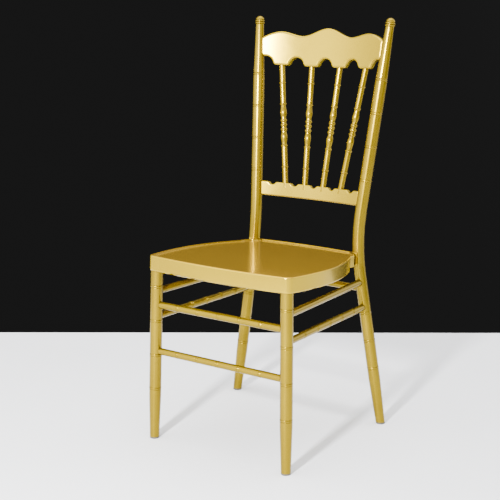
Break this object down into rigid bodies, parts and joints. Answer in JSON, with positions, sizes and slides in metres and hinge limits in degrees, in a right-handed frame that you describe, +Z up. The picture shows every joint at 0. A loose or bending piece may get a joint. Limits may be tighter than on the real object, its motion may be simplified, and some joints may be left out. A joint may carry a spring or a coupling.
{
  "type": "chiavari chair",
  "caption": "Gold metal chiavari chair with turned spindles between two bowed back rails, beaded stretchers and a pressed metal seat.",
  "frame": {"origin": "middle of the bounding box's bottom, on the floor under the seat", "axes": "+X to the right as seen from the front, +Y from the front of the seat to the back, +Z up"},
  "size_m": [0.445, 0.4946, 0.9601],
  "materials": {
    "gold_frame": "glossy gold lacquer over metal",
    "gold_seat": "glossy gold lacquer over pressed sheet",
    "glide": "matt dark plastic"
  },
  "bodies": {
    "root": {"front_leg_left": "gold_frame", "front_leg_right": "gold_frame", "rear_post_left": "gold_frame", "rear_post_right": "gold_frame", "finial_left": "gold_frame", "finial_right": "gold_frame", "side_stretcher_upper_left": "gold_frame", "side_stretcher_upper_right": "gold_frame", "side_stretcher_lower_left": "gold_frame", "side_stretcher_lower_right": "gold_frame", "front_stretcher_upper": "gold_frame", "front_stretcher_lower": "gold_frame", "rear_stretcher": "gold_frame", "spindle_inner_left": "gold_frame", "spindle_inner_right": "gold_frame", "spindle_outer_left": "gold_frame", "spindle_outer_right": "gold_frame", "crest_rail": "gold_frame", "lower_back_rail": "gold_frame", "seat_pan": "gold_seat", "seat_bracket_left": "gold_seat", "seat_bracket_right": "gold_seat", "seat_front_bar": "gold_seat", "seat_rear_bar": "gold_seat", "seat_bearer_left": "gold_seat", "seat_bearer_right": "gold_seat", "glide_front_left": "glide", "glide_front_right": "glide", "glide_rear_left": "glide", "glide_rear_right": "glide"}
  },
  "joints": []
}
